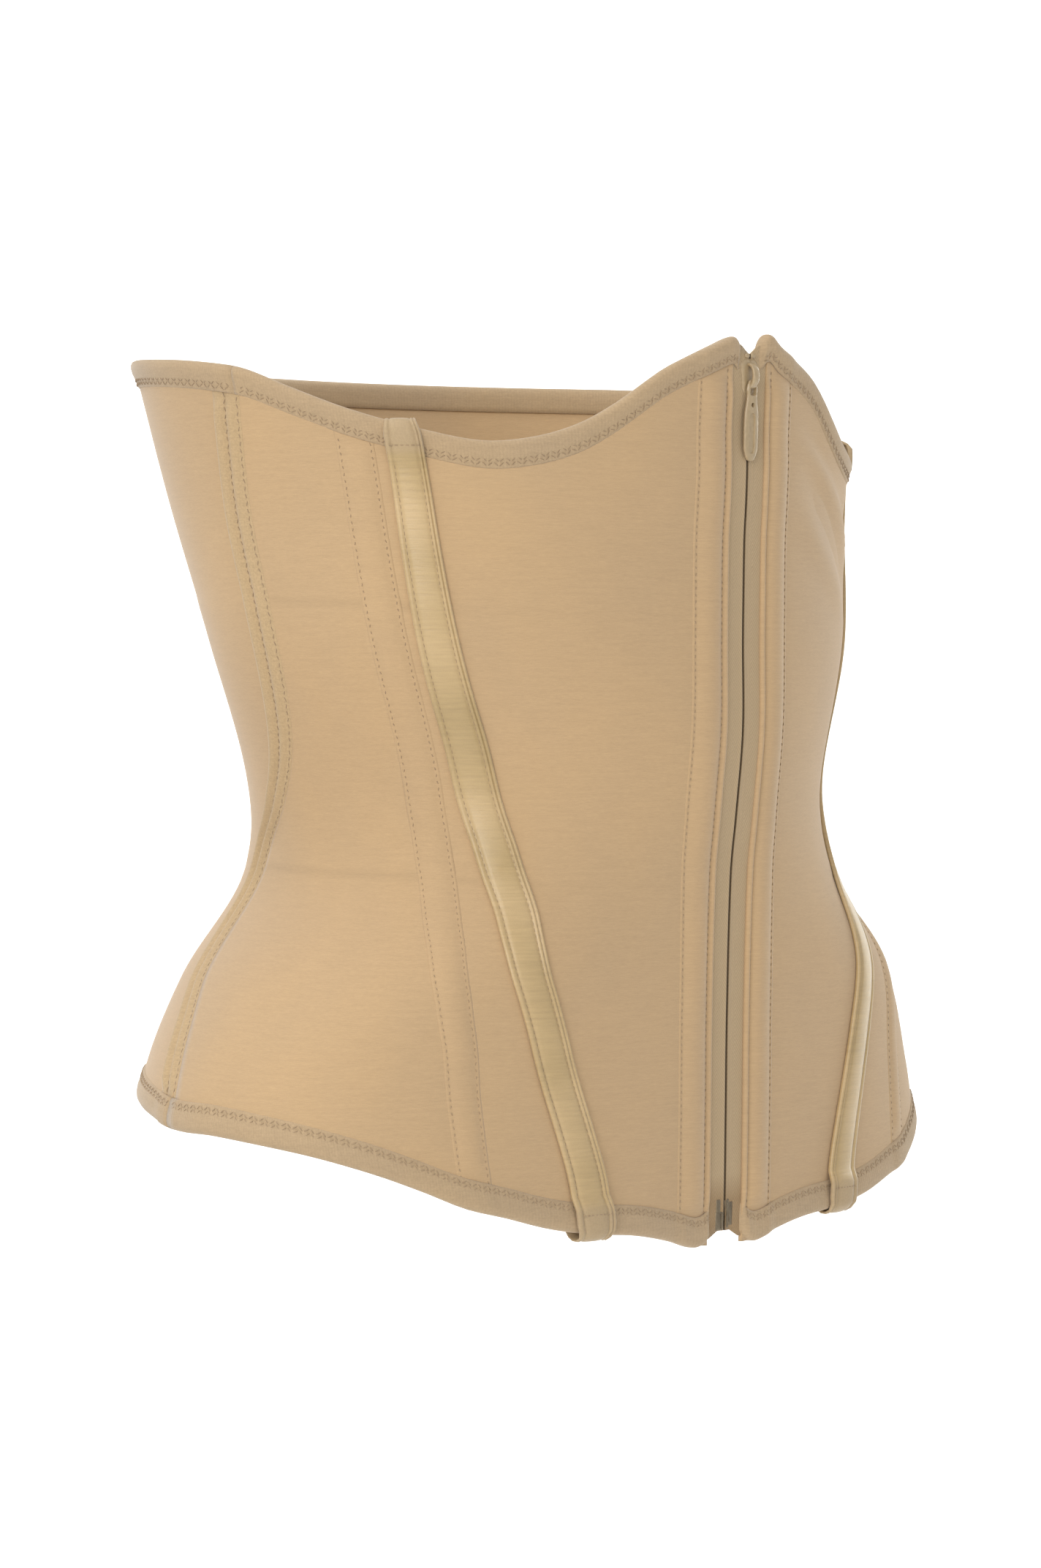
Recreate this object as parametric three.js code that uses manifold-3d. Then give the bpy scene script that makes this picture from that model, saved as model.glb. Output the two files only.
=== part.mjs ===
import * as THREE from 'three';
import Module from 'manifold-3d';

// A front-zip back brace, worn size. Millimetres, +Z up, the wearer faces -Y, waist at Z = 0.
// The wearer's left is +X. Girth angles run from 0 at the centre front to 180 at the centre back.

// Grading: 1 is a small size.
const widthGrade = 1;
const depthGrade = 1;
const lengthGrade = 1;

// Body at eight heights: [height, half width, half depth, fullness of the front].
const BODY = [
  [-115, 169, 101, -32],
  [-80, 167, 100.5, -25],
  [-45, 147, 99, -27],
  [-12, 115.5, 92, -15],
  [20, 113, 86, 2.5],
  [70, 131, 90, 3],
  [120, 138, 99.5, 5],
  [170, 148, 107.5, 3.5],
];
const frontLineY = -88.6;
const frontLean = 0.0366;

// Top and bottom edges: [girth angle, height].
const TOP_EDGE = [[0, 172], [4, 171.5], [8, 168], [12, 164], [16, 159.5], [20, 153.5], [24, 147.5],
  [30, 140.5], [37, 136], [45, 134.5], [54, 138], [65, 144.5], [75, 152], [84, 158.5], [92, 161],
  [105, 163], [125, 164.5], [180, 165]];
const BOTTOM_EDGE = [[0, -136], [6, -135], [10, -132], [16, -129], [24, -127], [31, -124],
  [38, -119.5], [45, -115.5], [52, -109.5], [60, -103.5], [70, -98], [80, -94.5], [92, -92],
  [103, -91.5], [115, -88], [135, -84], [180, -80]];

// Seams down the body: [height, girth angle].
const SATIN_SEAM = [[-136, 23.2], [-120, 23.9], [-106, 25], [-85, 27.9], [-65, 32.1], [-52, 35.8],
  [-38, 40.6], [-23, 46.4], [-9, 51.3], [5, 53.4], [20, 54.4], [35, 55], [51, 55.7], [68, 56.1],
  [89, 56.5], [133, 57.2], [172, 58]];
const CHANNEL_SEAM = [[-136, 43], [-118, 43.2], [-105, 43.5], [-85, 44.4], [-67, 47], [-51, 51.6],
  [-42, 54.5], [-32, 58.2], [-23, 61.9], [-14, 64.6], [-4, 65.9], [6, 65.6], [20, 64.8],
  [35, 64.7], [90, 65], [172, 65.4]];
const SIDE_BACK_SEAM = [[-120, 106], [-92, 107.5], [-76, 108], [-60, 112], [-42, 118], [-20, 121],
  [0, 115.5], [15, 105.5], [30, 98.5], [48, 94.5], [72, 92.3], [110, 91.2], [140, 89], [172, 86.5]];

// Cloth and trim.
const clothThickness = 1.4;
const layerGap = 0.4 / Math.min(1, lengthGrade) ** 2;
const bindingThickness = 0.6;
const topBindingWidth = 8.5;
const bottomBindingWidth = 9.5;
const bandThickness = 0.7;
const tapeThickness = 0.65;
const seamGap = 0.2;

// Bones and their casings.
const boneWidth = 6;
const boneThickness = 0.5;
const casingHeight = 1.7;
const casingWall = 0.5;
const placketEdgeX = 9.5;
const placketLineX = 24.5;
const placketCasingWidth = 14.4;
const satinWidthTop = 11.5;
const satinWidthWaist = 14;
const satinWidthHem = 17;
const channelWidth = 10.5;
const sideBackWidth = 8.6;
const centreBackOffset = 17;
const centreBackWidth = 13;

// Zip: size 5 reversed coil with a separating end.
const zipTop = 167.5;
const tapeBottom = -131.5;
const tapeHem = 15;
const zipEndTop = -120;
const coilWidth = 2.6;
const coilThickness = 1.3;
const coilSplit = 0.3;
const sliderLength = 12.4;
const sliderWidth = 9.2;
const sliderTop = 165.5;
const pullLength = 27;
const pullWidth = 8;

const BEIGE = 0xd1b189;
const SATIN = 0xd6bd8c;
const DUSK = 0xbfa98a;
const TAPE = 0xa8937a;
const METAL = 0xb39c7c;
const STEEL = 0x8f8a84;

const radians = THREE.MathUtils.degToRad;

// Smooth curve through [x, y] points, straight beyond the ends.
function curve(points) {
  const n = points.length;
  const slope = points.map((p, i) => {
    const a = points[Math.max(i - 1, 0)];
    const b = points[Math.min(i + 1, n - 1)];
    return (b[1] - a[1]) / (b[0] - a[0]);
  });
  return (x) => {
    if (x <= points[0][0]) return points[0][1] + slope[0] * (x - points[0][0]);
    if (x >= points[n - 1][0]) return points[n - 1][1] + slope[n - 1] * (x - points[n - 1][0]);
    let i = 0;
    while (x > points[i + 1][0]) i += 1;
    const w = points[i + 1][0] - points[i][0];
    const s = (x - points[i][0]) / w;
    const h = s * s * (3 - 2 * s);
    return points[i][1] * (1 - h) + points[i + 1][1] * h
      + w * s * (1 - s) * ((1 - s) * slope[i] - s * slope[i + 1]);
  };
}

const halfWidth = curve(BODY.map((r) => [r[0] * lengthGrade, r[1] * widthGrade]));
const halfDepth = curve(BODY.map((r) => [r[0] * lengthGrade, r[2] * depthGrade]));
const fullness = curve(BODY.map((r) => [r[0] * lengthGrade, r[3] * depthGrade]));
const topEdge = curve(TOP_EDGE.map((r) => [r[0], r[1] * lengthGrade]));
const bottomEdge = curve(BOTTOM_EDGE.map((r) => [r[0], r[1] * lengthGrade]));
const seams = [SATIN_SEAM, CHANNEL_SEAM, SIDE_BACK_SEAM]
  .map((s) => curve(s.map((r) => [r[0] * lengthGrade, r[1]])));
const frontY = (z) => frontLineY * depthGrade - frontLean * z;

// Speed along the section and the point that lies `off` outside the body at angle t, in radians.
function slopes(t, z) {
  const dx = halfWidth(z) * Math.cos(t);
  const dy = Math.sin(t) * (halfDepth(z) + 2 * fullness(z) * Math.cos(t));
  return [dx, dy, Math.hypot(dx, dy)];
}
function skin(t, z, off) {
  const [dx, dy, speed] = slopes(t, z);
  const x = halfWidth(z) * Math.sin(t);
  const y = frontY(z) + (1 - Math.cos(t)) * (halfDepth(z) + fullness(z) * (1 + Math.cos(t)));
  return new THREE.Vector3(x + (off * dy) / speed, y - (off * dx) / speed, z);
}
const step = (t, z, mm) => t + mm / slopes(t, z)[2];

// Girth stations: 0 zip edge, 1 placket line, 2 satin seam, 3 channel seam, 4 side-back seam,
// 5 centre back. Values between two stations are shared out evenly.
function girth(u, z) {
  const at = (k) => {
    if (k === 0) return Math.asin(placketEdgeX / halfWidth(z));
    if (k === 1) return Math.asin(placketLineX / halfWidth(z));
    if (k === 4) return step(radians(seams[2](z)), z, -sideBackWidth / 2);
    return k === 5 ? Math.PI : radians(seams[k - 2](z));
  };
  const k = Math.min(Math.floor(u), 4);
  return at(k) + (u - k) * (at(k + 1) - at(k));
}
const degrees = THREE.MathUtils.radToDeg;
const topOf = (u) => topEdge(degrees(girth(u, 150 * lengthGrade)));
const bottomOf = (u) => bottomEdge(degrees(girth(u, -115 * lengthGrade)));

// Rows from hem to top edge, closer together at the waist where the body curves most.
const ROWS = [0, 0.035, 0.08, 0.14, 0.2, 0.25, 0.285, 0.315, 0.345, 0.375, 0.405, 0.435, 0.465,
  0.5, 0.54, 0.6, 0.68, 0.77, 0.87, 0.955, 1];

// Moves every vertex of a geometry to place(x, y, z).
function warp(geometry, place) {
  const p = geometry.attributes.position;
  for (let i = 0; i < p.count; i += 1) {
    const q = place(p.getX(i), p.getY(i), p.getZ(i));
    p.setXYZ(i, q.x, q.y, q.z);
  }
  geometry.computeVertexNormals();
  return geometry;
}

// A value read from a list at a fractional index.
function pick(list, f) {
  const i = Math.min(Math.max(Math.floor(f + 1e-6), 0), list.length - 2);
  return list[i] + (f - i) * (list[i + 1] - list[i]);
}

const brace = new THREE.Group();
brace.name = 'back_brace';

function add(name, geometry, color, roughness = 0.9, parent = brace) {
  const mesh = new THREE.Mesh(geometry, new THREE.MeshStandardMaterial({ color, roughness }));
  mesh.name = name;
  parent.add(mesh);
}

// Columns of one side from the zip edge to the side-back seam, and of the whole back.
const columns = (from, to, count) => Array.from({ length: count + 1 },
  (_, i) => from + ((to - from) * i) / count);
const FRONT_COLUMNS = [0, ...columns(1, 2, 4)];
const GORE_COLUMNS = columns(2, 3, 2);
const SIDE_COLUMNS = columns(3, 4, 5);
const WING_COLUMNS = [...FRONT_COLUMNS, ...GORE_COLUMNS.slice(1), ...SIDE_COLUMNS.slice(1)];
const BACK_COLUMNS = columns(4, 6, 16);

// Signed girth angle at a column; columns past 5 are the far half of the back.
function angle(side, u, z, shift = 0) {
  if (u > 5) return 2 * Math.PI - step(girth(10 - u, z), z, -shift);
  return side * step(girth(u, z), z, shift);
}
const mirrored = (u) => (u > 5 ? 10 - u : u);

// Cloth edges stop this far inside the fold of a binding.
const inset = bindingThickness + layerGap;

// A curved sheet over a run of columns between two heights, given as functions of the column.
function sheet(side, list, rows, low, high, offIn, offOut, endGap = seamGap) {
  const cols = list.length - 1;
  const geometry = new THREE.BoxGeometry(1, 1, 1, cols, 1, rows.length - 1);
  return warp(geometry, (x, y, z) => {
    const f = side > 0 ? (x + 0.5) * cols : (0.5 - x) * cols;
    const u = pick(list, f);
    const v = pick(rows, (z + 0.5) * (rows.length - 1));
    const m = mirrored(u);
    const h = low(m) + v * (high(m) - low(m));
    const shift = f < 1e-6 ? endGap : (f > cols - 1e-6 ? -endGap : 0);
    return skin(angle(side, u, h, shift), h, y > 0 ? offIn : offOut);
  });
}

// A folded strip over the top or bottom edge: outer leg, fold and inner leg.
function binding(side, list, edge, up, width, endGap = seamGap) {
  const outer = clothThickness + layerGap;
  const inner = -tapeThickness - 2 * layerGap - 0.35;
  const s = up ? -1 : 1;
  const shape = new THREE.Shape([
    [0, inner - bindingThickness], [0, outer + bindingThickness],
    [s * width, outer + bindingThickness], [s * width, outer],
    [s * bindingThickness, outer], [s * bindingThickness, inner],
    [s * width, inner], [s * width, inner - bindingThickness],
  ].map(([x, y]) => new THREE.Vector2(x, y)));
  const cols = list.length - 1;
  const geometry = new THREE.ExtrudeGeometry(shape, { depth: 1, steps: cols, bevelEnabled: false });
  return warp(geometry, (x, y, z) => {
    const f = side > 0 ? z * cols : (1 - z) * cols;
    const u = pick(list, f);
    const h = edge(mirrored(u)) + x;
    const shift = f < 1e-6 ? endGap : (f > cols - 1e-6 ? -endGap : 0);
    return skin(angle(side, u, h, shift), h, y);
  });
}

// How far the casings step out to clear the bindings near both edges.
function lift(h, low, high) {
  const clear = Math.min(h - low - bottomBindingWidth, high - h - topBindingWidth);
  return (bindingThickness + layerGap) * (1 - THREE.MathUtils.smoothstep(clear, 5, 12));
}
const fromFront = (t) => 180 - Math.abs(180 - Math.abs(degrees(t)));

// A raised bone casing along a line of the body, open underneath for the bone.
function casing(line, widthAt, low, high) {
  const slot = boneWidth / 2 + 0.5 * Math.max(1, widthGrade) ** 2;
  const depth = casingHeight - casingWall;
  const shape = new THREE.Shape([
    [-2, 0], [-1, 0], [-1, depth], [1, depth], [1, 0], [2, 0], [2, 0.7], [1.6, casingHeight],
    [-1.6, casingHeight], [-2, 0.7],
  ].map(([x, y]) => new THREE.Vector2(x, -y)));
  const count = ROWS.length - 1;
  const geometry = new THREE.ExtrudeGeometry(shape, { depth: 1, steps: count, bevelEnabled: false });
  return warp(geometry, (x, y, z) => {
    const v = pick(ROWS, z * count);
    const middle = low + v * (high - low);
    const reach = Math.sign(x) * (Math.abs(x) <= 1 ? Math.abs(x) * slot
      : slot + (Math.abs(x) - 1) * (widthAt(middle) / 2 - slot));
    const t = fromFront(step(line(middle), middle, reach));
    const h = middle + (1 - THREE.MathUtils.smoothstep(v, 0, 0.12)) * (bottomEdge(t) - low)
      + THREE.MathUtils.smoothstep(v, 0.88, 1) * (topEdge(t) - high);
    const off = clothThickness + layerGap + lift(h, bottomEdge(t), topEdge(t)) - y;
    return skin(step(line(h), h, reach), h, off);
  });
}

// The flat steel inside a casing, clear of both bindings.
function bone(line, low, high) {
  const from = low + bottomBindingWidth + 7;
  const to = high - topBindingWidth - 7;
  const inside = ROWS.map((v) => low + v * (high - low)).filter((h) => h > from + 3 && h < to - 3);
  const rows = [from, ...inside, to];
  const geometry = new THREE.BoxGeometry(boneWidth, boneThickness, 1, 1, 1, rows.length - 1);
  const middle = clothThickness + layerGap + (casingHeight - casingWall) / 2;
  return warp(geometry, (x, y, z) => {
    const h = pick(rows, (z + 0.5) * (rows.length - 1));
    return skin(step(line(h), h, x), h, middle - y);
  });
}

// Half of the zip tape, its hem under the placket, with a V at the top and room for the end parts.
function tape(side) {
  const low = tapeBottom * lengthGrade;
  const high = zipTop * lengthGrade;
  const end = zipEndTop * lengthGrade;
  const rows = [low, end, end + 0.5, -40 * lengthGrade, 40 * lengthGrade, high - 7, high];
  const inner = [5, 5, 0.25, 0.25, 0.25, 0.25, 3.2];
  const geometry = new THREE.BoxGeometry(1, 1, 1, 3, 1, rows.length - 1);
  return warp(geometry, (x, y, z) => {
    const f = side > 0 ? (x + 0.5) * 3 : (0.5 - x) * 3;
    const k = (z + 0.5) * (rows.length - 1);
    const across = pick([pick(inner, k), 5.5, placketEdgeX, tapeHem], f);
    const edge = topEdge(degrees(Math.asin(across / halfWidth(high)))) - inset - 0.3;
    const rise = k > rows.length - 1.5 && f > 0.5 ? Math.min(3.2, edge - high) : 0;
    const fall = k < 0.5 && f > 2.5 ? 2.5 * Math.min(1, lengthGrade) ** 2 : 0;
    const h = pick(rows, k) + rise - fall;
    const off = -layerGap - 0.05 - (y > 0 ? tapeThickness : 0);
    return skin(side * Math.asin(across / halfWidth(h)), h, off);
  });
}

// Panels, waist bands and bindings.
const panelLow = (u) => bottomOf(u) + inset;
const panelHigh = (u) => topOf(u) - inset;
const bandLow = (u) => (-15.5 + 2.2 * u) * lengthGrade;
const bandHigh = (u) => (76 + 1.7 * u) * lengthGrade;
const bandRows = columns(0, 1, 12);
const bandOuter = -1.7;
const SIDES = [['left', 1], ['right', -1]];

add('back_panel', sheet(1, BACK_COLUMNS, ROWS, panelLow, panelHigh, 0, clothThickness), BEIGE);
add('back_waist_band', sheet(1, BACK_COLUMNS, bandRows, bandLow, bandHigh,
  bandOuter - bandThickness, bandOuter), DUSK);
add('back_top_binding', binding(1, BACK_COLUMNS, topOf, true, topBindingWidth), DUSK);
add('back_bottom_binding', binding(1, BACK_COLUMNS, bottomOf, false, bottomBindingWidth), DUSK);
for (const [name, side] of SIDES) {
  const panel = (list) => sheet(side, list, ROWS, panelLow, panelHigh, 0, clothThickness);
  add(`${name}_front_panel`, panel(FRONT_COLUMNS), BEIGE);
  add(`${name}_gore_panel`, panel(GORE_COLUMNS), BEIGE);
  add(`${name}_side_panel`, panel(SIDE_COLUMNS), BEIGE);
  add(`${name}_waist_band`, sheet(side, WING_COLUMNS.slice(1), bandRows, bandLow, bandHigh,
    bandOuter - bandThickness, bandOuter), DUSK);
  add(`${name}_top_binding`, binding(side, WING_COLUMNS, topOf, true, topBindingWidth), DUSK);
  add(`${name}_bottom_binding`, binding(side, WING_COLUMNS, bottomOf, false, bottomBindingWidth),
    DUSK);
}

// Bone casings with a bone in each: placket, satin strip, channel, side back and centre back.
const satinWidth = curve([[-125 * lengthGrade, satinWidthHem], [-40 * lengthGrade, 15],
  [40 * lengthGrade, satinWidthWaist], [150 * lengthGrade, satinWidthTop]]);
const CASINGS = [
  ['placket', 0.5, (h) => Math.asin((placketEdgeX + placketLineX) / 2 / halfWidth(h)),
    () => placketCasingWidth, BEIGE],
  ['satin', 2, (h) => girth(2, h), satinWidth, SATIN],
  ['channel', 3, (h) => girth(3, h), () => channelWidth, BEIGE],
  ['side_back', 4, (h) => step(girth(4, h), h, sideBackWidth / 2 + seamGap),
    () => sideBackWidth, BEIGE],
  ['centre_back', 5, (h) => step(Math.PI, h, -centreBackOffset), () => centreBackWidth, BEIGE],
];
for (const [name, side] of SIDES) {
  for (const [kind, u, line, widthAt, color] of CASINGS) {
    const signed = (h) => side * line(h);
    add(`${name}_${kind}_casing`, casing(signed, widthAt, bottomOf(u), topOf(u)), color);
    add(`${name}_${kind}_bone`, bone(signed, bottomOf(u), topOf(u)), STEEL, 0.4);
  }
  add(`${name}_zip_tape`, tape(side), TAPE);
}

// The zip line: a frame that leans with the front, Z along the chain and Y into the body.
const zipLine = new THREE.Group();
zipLine.name = 'zip_line';
zipLine.position.set(0, frontLineY * depthGrade, 0);
zipLine.rotation.x = Math.atan(frontLean);
brace.add(zipLine);

// A bar along the zip line from an outline in X and Y.
function bar(outline, low, high) {
  const shape = new THREE.Shape(outline.map(([x, y]) => new THREE.Vector2(x, y)));
  const geometry = new THREE.ExtrudeGeometry(shape, { depth: high - low, bevelEnabled: false });
  return geometry.translate(0, 0, low);
}
const coilFront = 1.35;
const chainLow = zipEndTop * lengthGrade + 1.5;
const chainHigh = zipTop * lengthGrade - 5;
for (const [name, side] of SIDES) {
  const middle = side * (coilSplit + coilWidth / 2);
  const oval = Array.from({ length: 12 }, (_, i) => [
    middle + (coilWidth / 2) * Math.cos((i * Math.PI) / 6),
    coilFront + coilThickness / 2 + (coilThickness / 2) * Math.sin((i * Math.PI) / 6)]);
  add(`${name}_coil`, bar(oval, chainLow, chainHigh), TAPE, 0.6, zipLine);
  const x = [coilSplit + 0.2, coilSplit + 2.4].map((v) => v * side);
  const stopTop = zipTop * lengthGrade - 0.4;
  add(`${name}_top_stop`, bar([[x[0], 1.35], [x[1], 1.35], [x[1], 2.6], [x[0], 2.6]],
    stopTop - 1.4, stopTop), TAPE, 0.5, zipLine);
}

// Separating end: a block on the wearer's right tape and a pin on the left.
const endTop = zipEndTop * lengthGrade - 0.4;
add('zip_box', bar([[-4.7, -0.2], [-4.1, -0.8], [-0.9, -0.8], [-0.25, -0.2], [-0.25, 2.2],
  [-0.9, 2.8], [-4.1, 2.8], [-4.7, 2.2]], endTop - 10.8, endTop), STEEL, 0.35, zipLine);
add('zip_pin', bar([[0.25, 0], [0.9, -0.6], [2, -0.6], [2.6, 0], [2.6, 0.4], [4.7, 0.4],
  [4.7, 1.1], [2.6, 1.1], [2.6, 2], [2, 2.6], [0.9, 2.6], [0.25, 2]], endTop - 10.2, endTop),
STEEL, 0.35, zipLine);

// Slider: two plates joined by a post beside the chain, with an arched crown for the pull.
const wasm = await Module();
wasm.setup();
const { Manifold, CrossSection } = wasm;

// An outline drawn in X and Z and given a thickness along Y.
function plate(section, y, thickness) {
  return Manifold.extrude(section, thickness).rotate([90, 0, 0]).translate([0, y + thickness, 0]);
}
function fromSolid(solid) {
  const mesh = solid.getMesh();
  const geometry = new THREE.BufferGeometry();
  geometry.setAttribute('position', new THREE.BufferAttribute(new Float32Array(mesh.vertProperties), 3));
  geometry.setIndex(new THREE.BufferAttribute(new Uint32Array(mesh.triVerts), 1));
  geometry.computeVertexNormals();
  return geometry;
}
const sliderMiddle = sliderTop * lengthGrade - sliderLength / 2;
const half = [sliderWidth / 2, sliderLength / 2];
const cheek = new CrossSection([[[-half[0] + 1, -half[1]], [half[0] - 1, -half[1]],
  [half[0], -half[1] + 3], [half[0], half[1] - 2], [half[0] - 1.6, half[1]],
  [-half[0] + 1.6, half[1]], [-half[0], half[1] - 2], [-half[0], -half[1] + 3]]]);
const archOutline = new CrossSection([[[-1.2, 4.6], [-3.4, 4.6], [-4.6, 3], [-4.6, -3.2],
  [-3.6, -4.2], [-1.2, -4.2]]]);
const archHole = new CrossSection([[[-1.5, 2.6], [-3.3, 2.6], [-3.3, -2.6], [-1.5, -2.6]]]);
const arch = Manifold.extrude(archOutline.subtract(archHole), 2.2)
  .rotate([90, 0, 90]).translate([-1.1, 0, 0]);
const post = Manifold.cube([1, 3.5, 1.4]).translate([0.35, -0.2, half[1] - 1.7]);
const slider = plate(cheek, -1.3, 1.3).add(plate(cheek, 3.1, 1)).add(post).add(arch);
add('slider_body', fromSolid(slider.translate([0, 0, sliderMiddle])), METAL, 0.45, zipLine);

// Pull: a drop-shaped plate hanging from the arch, with an eye at the top and a small hole.
const pullPivot = [0, -2.4, sliderMiddle - 1.6];
const round = Array.from({ length: 9 }, (_, i) => {
  const a = -Math.PI + (i * Math.PI) / 8;
  return [(pullWidth / 2) * Math.cos(a), 0.6 - pullLength + pullWidth / 2 + (pullWidth / 2) * Math.sin(a)];
});
const drop = new CrossSection([[...round, [3, -9], [2.7, -6], [2.7, -0.2], [1.9, 0.45], [-1.9, 0.45],
  [-2.7, -0.2], [-2.7, -6], [-3, -9]]]);
const eye = new CrossSection([[[-1.5, -5], [1.5, -5], [1.5, -0.55], [-1.5, -0.55]]]);
const hole = CrossSection.circle(0.8, 12).translate([0, -8]);
const pull = plate(drop.subtract(eye).subtract(hole), -0.6, 1.2).translate(pullPivot);
add('pull_tab', fromSolid(pull), METAL, 0.45, zipLine);

export default brace;
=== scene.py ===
import math

import bmesh
import bpy
import numpy as np
from mathutils import Matrix, Vector


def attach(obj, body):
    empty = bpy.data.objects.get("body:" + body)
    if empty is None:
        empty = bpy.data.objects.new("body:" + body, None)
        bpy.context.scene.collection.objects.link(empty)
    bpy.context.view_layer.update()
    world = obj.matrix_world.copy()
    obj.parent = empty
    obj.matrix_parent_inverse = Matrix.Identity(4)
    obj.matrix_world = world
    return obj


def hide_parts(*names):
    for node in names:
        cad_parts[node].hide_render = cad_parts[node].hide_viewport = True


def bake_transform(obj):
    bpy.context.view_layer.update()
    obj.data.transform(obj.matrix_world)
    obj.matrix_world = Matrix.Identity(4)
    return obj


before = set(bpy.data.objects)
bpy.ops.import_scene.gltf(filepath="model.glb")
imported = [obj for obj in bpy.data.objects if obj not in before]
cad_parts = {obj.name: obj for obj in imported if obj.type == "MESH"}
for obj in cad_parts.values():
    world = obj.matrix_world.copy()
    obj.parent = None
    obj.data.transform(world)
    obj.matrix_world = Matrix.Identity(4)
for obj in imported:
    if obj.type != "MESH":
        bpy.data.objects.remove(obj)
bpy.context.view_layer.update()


# ---- The room ----------------------------------------------------------------------------------
# The brace is shown at waist height, as on a standing wearer, in front of a pale paper sweep that
# curves up from the floor. Large soft lamps light it from the wearer's right and from behind.

FLOOR = -0.95
CAMERA_DISTANCE = 2.0
BEND = 1.4  # radius of the sweep where it curves up
SWEEP_BACK = 2.2  # how far behind the brace the curve starts


def put(name, data):
    """An object with this data, in the scene."""
    obj = bpy.data.objects.new(name, data)
    bpy.context.collection.objects.link(obj)
    return obj


def lamp(name, place, aim, size, watts, colour=(1, 1, 1)):
    data = bpy.data.lights.new(name, "AREA")
    data.shape, data.size, data.size_y = "RECTANGLE", size[0], size[1]
    data.energy, data.color = watts, colour
    obj = put(name, data)
    obj.location = place
    obj.rotation_euler = (Vector(place) - Vector(aim)).to_track_quat("Z", "Y").to_euler()


azimuth, lift = math.radians(-50), math.radians(1.0)
aim = Vector((0, 0.0057, 0.020))
backward = Vector((math.sin(azimuth) * math.cos(lift), -math.cos(azimuth) * math.cos(lift),
                   math.sin(lift)))
camera = put("camera", bpy.data.cameras.new("camera"))
camera.data.lens, camera.data.sensor_width = 130.97, 36
camera.data.clip_start, camera.data.clip_end = 0.05, 60
camera.location = aim + backward * CAMERA_DISTANCE
camera.rotation_euler = backward.to_track_quat("Z", "Y").to_euler()
bpy.context.scene.camera = camera

sweep_line = [(-4.0, 0)] + [(SWEEP_BACK + BEND * math.sin(a), BEND - BEND * math.cos(a))
                            for a in np.linspace(0, math.pi / 2, 13)] + [(3.6, 6.0)]
turn = Matrix.Rotation(azimuth, 4, "Z")
sweep_mesh = bpy.data.meshes.new("sweep")
sweep_mesh.from_pydata(
    [turn @ Vector((x, y, FLOOR + z)) for y, z in sweep_line for x in (-9, 9)], [],
    [(2 * i, 2 * i + 1, 2 * i + 3, 2 * i + 2) for i in range(len(sweep_line) - 1)])
sweep_mesh.polygons.foreach_set("use_smooth", [True] * len(sweep_mesh.polygons))
sweep = put("sweep", sweep_mesh)
paper = bpy.data.materials.new("sweep_paper")
paper.use_nodes = True
paper_shader = paper.node_tree.nodes["Principled BSDF"].inputs
paper_shader["Base Color"].default_value = (0.95, 0.95, 0.95, 1)
paper_shader["Roughness"].default_value = 0.9
sweep_mesh.materials.append(paper)

world = bpy.data.worlds.new("soft_room")
world.use_nodes = True
sky = world.node_tree.nodes["Background"].inputs
sky["Color"].default_value, sky["Strength"].default_value = (1, 1, 1, 1), 0.62
bpy.context.scene.world = world
lamp("key", (-2.27, -1.03, 0.9), (0, 0, 0), (1.3, 1.8), 38, (1.0, 0.985, 0.96))
lamp("fill", (-0.4, -2.8, 0.5), (0, 0, 0), (2.0, 2.0), 3)
lamp("rim", (2.2, -0.1, 0.5), (0, 0, 0.03), (0.7, 1.8), 14, (1.0, 0.97, 0.84))
lamp("hip", (-0.9, 0.9, 3.0), (0, 0, -0.08), (1.6, 1.6), 46)
lamp("wash", (0.9, 0.8, 1.5), (3.2, 2.7, 1.2), (2.4, 1.0), 90)
bpy.context.scene.view_settings.view_transform = "Standard"


# ---- The knit panels ---------------------------------------------------------------------------
# Seven panels of matt, firm stretch knit in nude beige: one back, and a front, a gore and a side
# piece on each side. They are cut smaller than the wearer and stretched to the body when worn.
#
# Lengths are in millimetres until a mesh is made. Girth angles run from 0 at the centre front to
# 180 at the centre back, and the waist is at height 0. BODY gives height, half width, half depth
# and fullness of front and back; the edges are (angle, height) and the seams (height, angle).

BODY = [(-115, 169, 101, -32), (-80, 167, 100.5, -25), (-45, 147, 99, -27),
        (-12, 115.5, 92, -15), (20, 113, 86, 2.5), (70, 131, 90, 3), (120, 138, 99.5, 5),
        (170, 148, 107.5, 3.5)]
TOP_EDGE = [(0, 172), (4, 171.5), (8, 168), (12, 164), (16, 159.5), (20, 153.5), (24, 147.5),
            (30, 140.5), (37, 136), (45, 134.5), (54, 138), (65, 144.5), (75, 152), (84, 158.5),
            (92, 161), (105, 163), (125, 164.5), (180, 165)]
BOTTOM_EDGE = [(0, -136), (6, -135), (10, -132), (16, -129), (24, -127), (31, -124),
               (38, -119.5), (45, -115.5), (52, -109.5), (60, -103.5), (70, -98), (80, -94.5),
               (92, -92), (103, -91.5), (115, -88), (135, -84), (180, -80)]
SATIN_SEAM = [(-136, 23.2), (-120, 23.9), (-106, 25), (-85, 27.9), (-65, 32.1), (-52, 35.8),
              (-38, 40.6), (-23, 46.4), (-9, 51.3), (5, 53.4), (20, 54.4), (35, 55), (51, 55.7),
              (68, 56.1), (89, 56.5), (133, 57.2), (172, 58)]
CHANNEL_SEAM = [(-136, 43), (-118, 43.2), (-105, 43.5), (-85, 44.4), (-67, 47), (-51, 51.6),
              (-42, 54.5), (-32, 58.2), (-23, 61.9), (-14, 64.6), (-4, 65.9), (6, 65.6), (20, 64.8),
              (35, 64.7), (90, 65), (172, 65.4)]
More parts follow.
